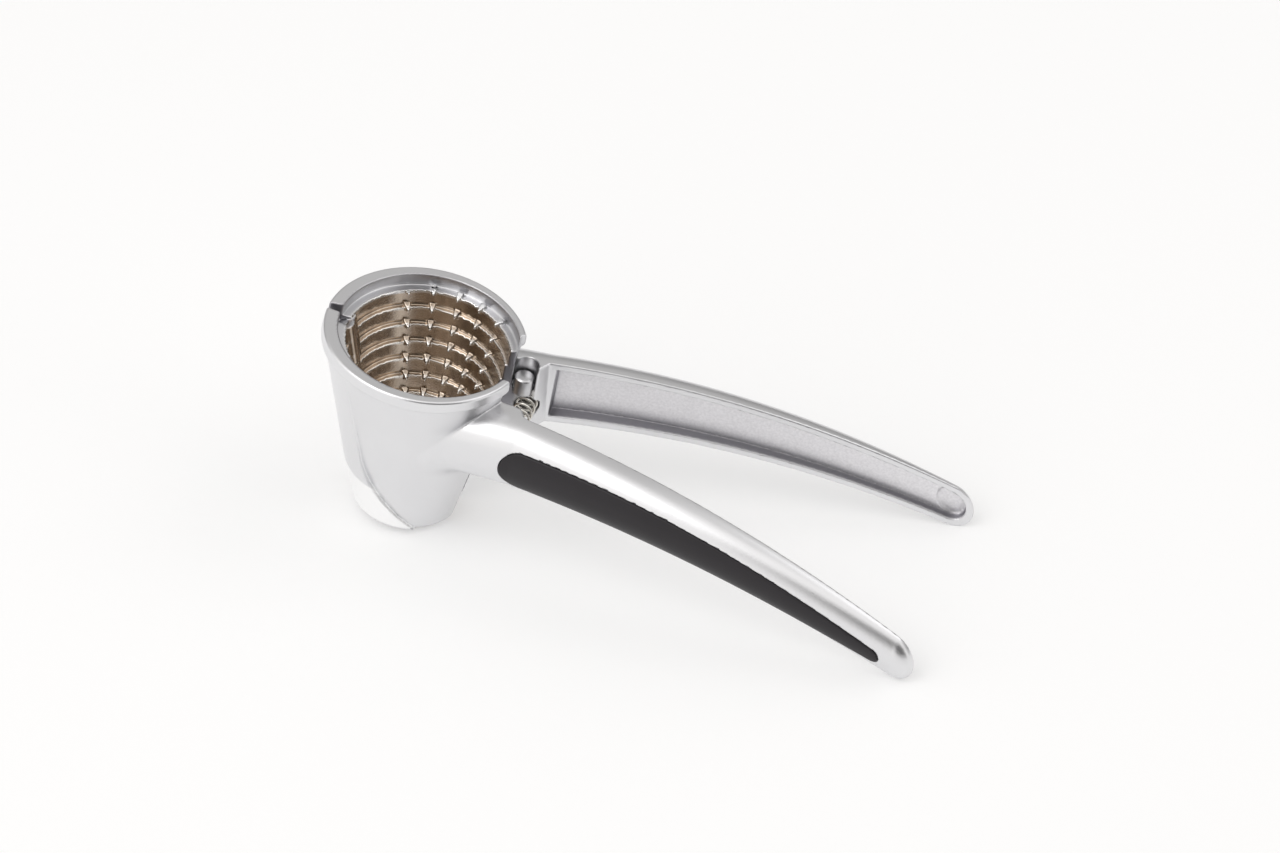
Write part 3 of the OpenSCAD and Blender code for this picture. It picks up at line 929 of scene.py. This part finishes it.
def wind_spring(material):
    """The spring as a plain mesh, in its place between the two roots."""
    holder = add_object("spring_holder", bpy.data.meshes.new("spring_holder"))
    modifier = holder.modifiers.new("wound_spring", "NODES")
    modifier.node_group = spring_tree(material)
    for item in modifier.node_group.interface.items_tree:
        if item.item_type == "SOCKET" and item.in_out == "INPUT":
            modifier[item.identifier] = SPRING_SIZES[item.name]
    bpy.context.view_layer.update()
    wound = holder.evaluated_get(bpy.context.evaluated_depsgraph_get())
    mesh = bpy.data.meshes.new_from_object(wound)
    bpy.data.objects.remove(holder)
    mesh.name = "return_spring"
    start = to_row([[SPRING_XZ[0], -SPRING_HALF, SPRING_XZ[1]]])[0]
    along_y = Matrix.Rotation(-math.pi / 2, 4, "X")
    lean = Matrix(TURN.tolist()).to_4x4()
    mesh.transform(Matrix.Translation(Vector(start)) @ lean @ along_y)
    smooth(mesh)
    mesh.update()
    return add_object("wound_return_spring", mesh)


# ---- pieces ----
def add_casting(end, side, material):
    """One lever's casting, which stands for its jaw and its handle."""
    body = end + "_lever"
    part = casting(body + "_casting", side)
    part.data.materials.append(material)
    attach(part, body)
    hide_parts(end + "_jaw", end + "_handle")


def add_inlay(end, side, material):
    """One lever's grip inlay."""
    body = end + "_lever"
    inlay = grip_inlay(end + "_grip_inlay", side)
    inlay.data.materials.append(material)
    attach(inlay, body)
    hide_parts(end + "_grip")


def add_hinge_pin():
    """The pin that the levers turn on, chamfered at both ends."""
    axis = [-math.sin(HINGE_LEAN), 0, math.cos(HINGE_LEAN)]
    base = HINGE_TOP - HINGE_LEN * np.array(axis)
    half = [(PIN_R - 0.5, 0), (PIN_R - 0.1, 0.12), (PIN_R, 0.5)]
    profile = half + [(r, HINGE_LEN - h) for r, h in reversed(half)]
    pin = turned("turned_hinge_pin", profile, base, axis)
    steel = turned_steel("pin_steel", to_row([base])[0], TURN @ axis, (0.62, 0.62, 0.63), 900)
    pin.data.materials.append(steel)
    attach(pin, "back_lever")
    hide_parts("hinge_pin")


def add_stop_pin():
    """The short pin beside the funnel, with a rounded top edge."""
    low, high = STOP_Z
    profile = [(STOP_R - 0.3, low), (STOP_R, low + 0.3), (STOP_R, high - 0.75),
               (STOP_R - 0.1, high - 0.5), (STOP_R - 0.55, high - 0.06), (STOP_R - 0.8, high)]
    stop = turned("turned_stop_pin", profile, [*STOP_XY, 0.0], [0, 0, 1], 72)
    top = to_row([[*STOP_XY, high]])[0]
    steel = turned_steel("stop_steel", top, TURN @ [0, 0, 1], (0.66, 0.66, 0.67), 1400)
    stop.data.materials.append(steel)
    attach(stop, "back_lever")
    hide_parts("stop_pin")


def add_spring():
    """The return spring, in its place between the two levers."""
    spring = wind_spring(spring_wire())
    tuple(to_row([[SPRING_XZ[0], SPRING_HALF, SPRING_XZ[1]]])[0])
    tuple(to_row([[SPRING_XZ[0], -SPRING_HALF, SPRING_XZ[1]]])[0])
    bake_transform(spring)
    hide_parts("return_spring")


# ---- floor, light and camera ----
def floor():
    """A pale floor that glows a little."""
    material, _, _, shader = new_material("pale_floor")
    shader.inputs["Base Color"].default_value = (0.66, 0.66, 0.66, 1)
    shader.inputs["Roughness"].default_value = 0.9
    shader.inputs["Specular IOR Level"].default_value = 0.1
    shader.inputs["Emission Color"].default_value = (1, 1, 1, 1)
    shader.inputs["Emission Strength"].default_value = 0.35
    size = 6.0
    corners = [(-size, -size, 0), (size, -size, 0), (size, size, 0), (-size, size, 0)]
    mesh = bpy.data.meshes.new("floor")
    mesh.from_pydata(corners, [], [(0, 1, 2, 3)])
    mesh.materials.append(material)
    obj = add_object("floor", mesh)


def world():
    """A studio lit by direction: bright in front, grey elsewhere and dimmer low down.

    A dark patch at the front right gives the chrome its dark reflections.
    """
    back = bpy.data.worlds.new("studio")
    back.use_nodes = True
    nodes, links = back.node_tree.nodes, back.node_tree.links
    place = nodes.new("ShaderNodeTexCoord")
    parts = nodes.new("ShaderNodeSeparateXYZ")
    links.new(place.outputs["Generated"], parts.inputs[0])

    def step(socket, low, high):
        node = nodes.new("ShaderNodeMapRange")
        node.interpolation_type = "SMOOTHSTEP"
        node.inputs["From Min"].default_value = low
        node.inputs["From Max"].default_value = high
        links.new(socket, node.inputs["Value"])
        return node.outputs[0]

    def product(*masks):
        total = masks[0]
        for mask in masks[1:]:
            node = nodes.new("ShaderNodeMath")
            node.operation = "MULTIPLY"
            links.new(total, node.inputs[0])
            links.new(mask, node.inputs[1])
            total = node.outputs[0]
        return total

    x, y, z = parts.outputs
    wall = blend_value(nodes, links, step(z, 0.05, 0.6), 0.24, 0.60)
    level = blend_value(nodes, links, step(y, 0.3, -0.2), wall, 1.15)
    dark = product(step(x, -0.05, 0.25), step(y, -0.2, -0.5), step(z, 0.84, 0.58))
    level = blend_value(nodes, links, dark, level, 0.06)
    links.new(level, nodes["Background"].inputs["Strength"])
    nodes["Background"].inputs["Color"].default_value = (1.0, 0.985, 0.97, 1)
    bpy.context.scene.world = back


def softbox(name, place, target, size, power):
    """A rectangular area light turned to its target."""
    data = bpy.data.lights.new(name, "AREA")
    data.shape = "RECTANGLE"
    data.size, data.size_y = size
    data.energy = power
    obj = add_object(name, data)
    obj.location = place
    obj.rotation_euler = (Vector(target) - Vector(place)).to_track_quat("-Z", "Y").to_euler()


# The camera, in the funnel's axes: its right and up, the point it looks at, and its distance in mm
VIEW_RIGHT, VIEW_UP = [0.950, 0.269, 0.155], [-0.293, 0.608, 0.738]
VIEW_CENTRE, VIEW_DISTANCE = [66.78, 0.386, 52.83], 2408.0
SENSOR_W, LENS = 36.0, 233.6625


def camera():
    """Looks down on the front lever from well back, with the handles running off to the right."""
    right, up = TURN @ np.array(VIEW_RIGHT), TURN @ np.array(VIEW_UP)
    right /= np.linalg.norm(right)
    back = np.cross(right, up)
    back /= np.linalg.norm(back)
    up = np.cross(back, right)
    place = to_row([VIEW_CENTRE])[0] + back * VIEW_DISTANCE * MM
    data = bpy.data.cameras.new("camera")
    data.sensor_width = SENSOR_W
    data.lens = LENS
    obj = add_object("camera", data)
    turn = Matrix(np.stack([right, up, back], 1).tolist())
    obj.matrix_world = Matrix.Translation(Vector(place)) @ turn.to_4x4()
    bpy.context.scene.camera = obj


chrome = satin_chrome()
black = grip_black()
for end, side in (("front", -1), ("back", 1)):
    add_casting(end, side, chrome)
    add_inlay(end, side, black)
add_hinge_pin()
add_stop_pin()
add_spring()

floor()
world()
softbox("key", (-0.5, -0.7, 1.3), (0, 0, 0), (0.9, 0.9), 4)
softbox("fill", (0.9, 0.5, 1.2), (0, 0, 0), (0.8, 0.8), 2)
camera()
bpy.context.scene.view_settings.view_transform = "Standard"
